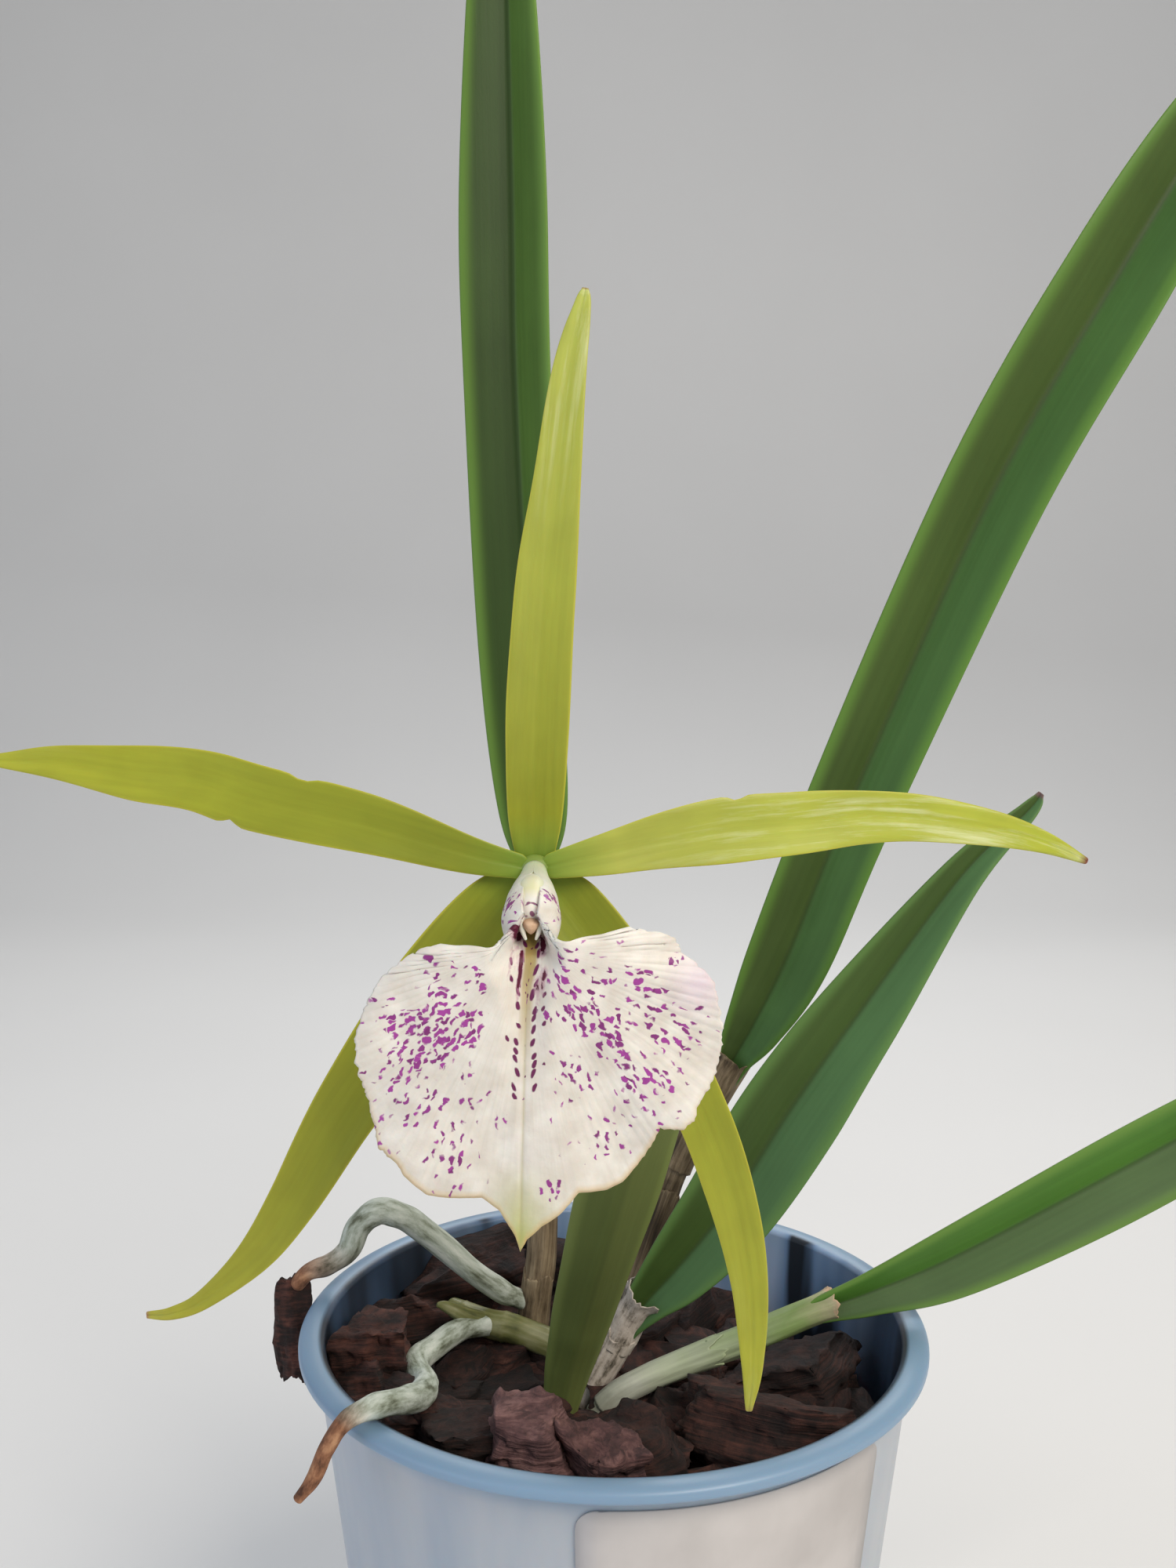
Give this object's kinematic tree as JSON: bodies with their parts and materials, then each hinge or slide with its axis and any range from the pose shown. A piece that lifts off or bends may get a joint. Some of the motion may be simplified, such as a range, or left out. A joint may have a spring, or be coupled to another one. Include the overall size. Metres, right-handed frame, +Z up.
{
  "type": "potted cattleya orchid",
  "caption": "Potted cattleya orchid in flower: broad spotted lip, narrow spreading tepals, folded strap leaves on canes, and thick roots that climb over a plastic pot of bark.",
  "frame": {"origin": "centre of the pot's flat base", "axes": "+Z up along the pot's axis, the flower faces -Y, and the long leaves lean towards +X"},
  "size_m": [0.2193, 0.137, 0.3601],
  "materials": {
    "milky_plastic": "satin, milky and slightly see-through",
    "label_paper": "plain off-white paper sticker",
    "pine_bark": "rough reddish-brown bark",
    "dry_sheath": "dry tan and brown papery sheath over a green stem",
    "pale_sheath": "whitish green papery sheath",
    "green_stem": "satin green plant stem",
    "root_velamen": "dull silvery green aerial root",
    "leaf": "satin leathery green leaf",
    "tepal": "satin yellow-green sepal or petal",
    "lip_petal": "satin cream white with magenta spots",
    "anther_cap": "matt tan"
  },
  "bodies": {
    "root": {"pot": "milky_plastic", "label": "label_paper", "bark_fill": "pine_bark", "bark_on_root": "pine_bark", "rhizome": "green_stem", "root_arch": "root_velamen", "root_over_rim": "root_velamen", "cane_upright": "dry_sheath", "cane_long_right": "dry_sheath", "cane_mid_right": "pale_sheath", "cane_low_right": "pale_sheath", "cane_front": "green_stem", "leaf_upright": "leaf", "leaf_long_right": "leaf", "leaf_mid_right": "leaf", "leaf_low_right": "leaf", "leaf_front": "leaf", "flower_stalk": "green_stem", "dorsal_sepal": "tepal", "lateral_sepal_left": "tepal", "lateral_sepal_right": "tepal", "petal_left": "tepal", "petal_right": "tepal", "lip": "lip_petal", "column": "lip_petal", "anther_cap": "anther_cap"}
  },
  "joints": []
}
